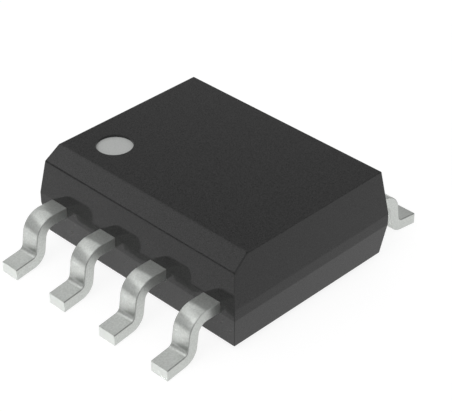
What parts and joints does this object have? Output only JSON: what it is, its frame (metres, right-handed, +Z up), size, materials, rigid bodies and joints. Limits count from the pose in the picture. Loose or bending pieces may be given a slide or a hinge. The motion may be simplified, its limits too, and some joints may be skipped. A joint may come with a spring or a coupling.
{
  "type": "soic chip",
  "caption": "Small outline chip package: tapered dark moulding with a bevelled edge and a round corner mark, carried on a row of gull-wing leads along each side.",
  "frame": {"origin": "on the seating plane under the middle of the moulding, millimetre model", "axes": "+Z up from the board, leads out along +X and -X, rows along Y; leads 1 to 4 on the -X side from +Y to -Y, leads 5 to 8 on the +X side from -Y to +Y"},
  "size_m": [0.0062, 0.0048, 0.0018],
  "materials": {
    "moulding": "fine matte, as moulded",
    "mark": "pale matte",
    "lead_plating": "matte tin plating",
    "frame_metal": "bare copper alloy",
    "adhesive": "cured paste",
    "die": "polished silicon",
    "wire": "bright gold"
  },
  "bodies": {
    "root": {"mould_body": "moulding", "pin_one_mark": "mark", "lead_1": "lead_plating", "lead_2": "lead_plating", "lead_3": "lead_plating", "lead_4": "lead_plating", "lead_5": "lead_plating", "lead_6": "lead_plating", "lead_7": "lead_plating", "lead_8": "lead_plating", "die_paddle": "frame_metal", "die_attach": "adhesive", "silicon_die": "die", "bond_wire_1": "wire", "bond_wire_2": "wire", "bond_wire_3": "wire", "bond_wire_4": "wire", "bond_wire_5": "wire", "bond_wire_6": "wire", "bond_wire_7": "wire", "bond_wire_8": "wire"}
  },
  "joints": []
}
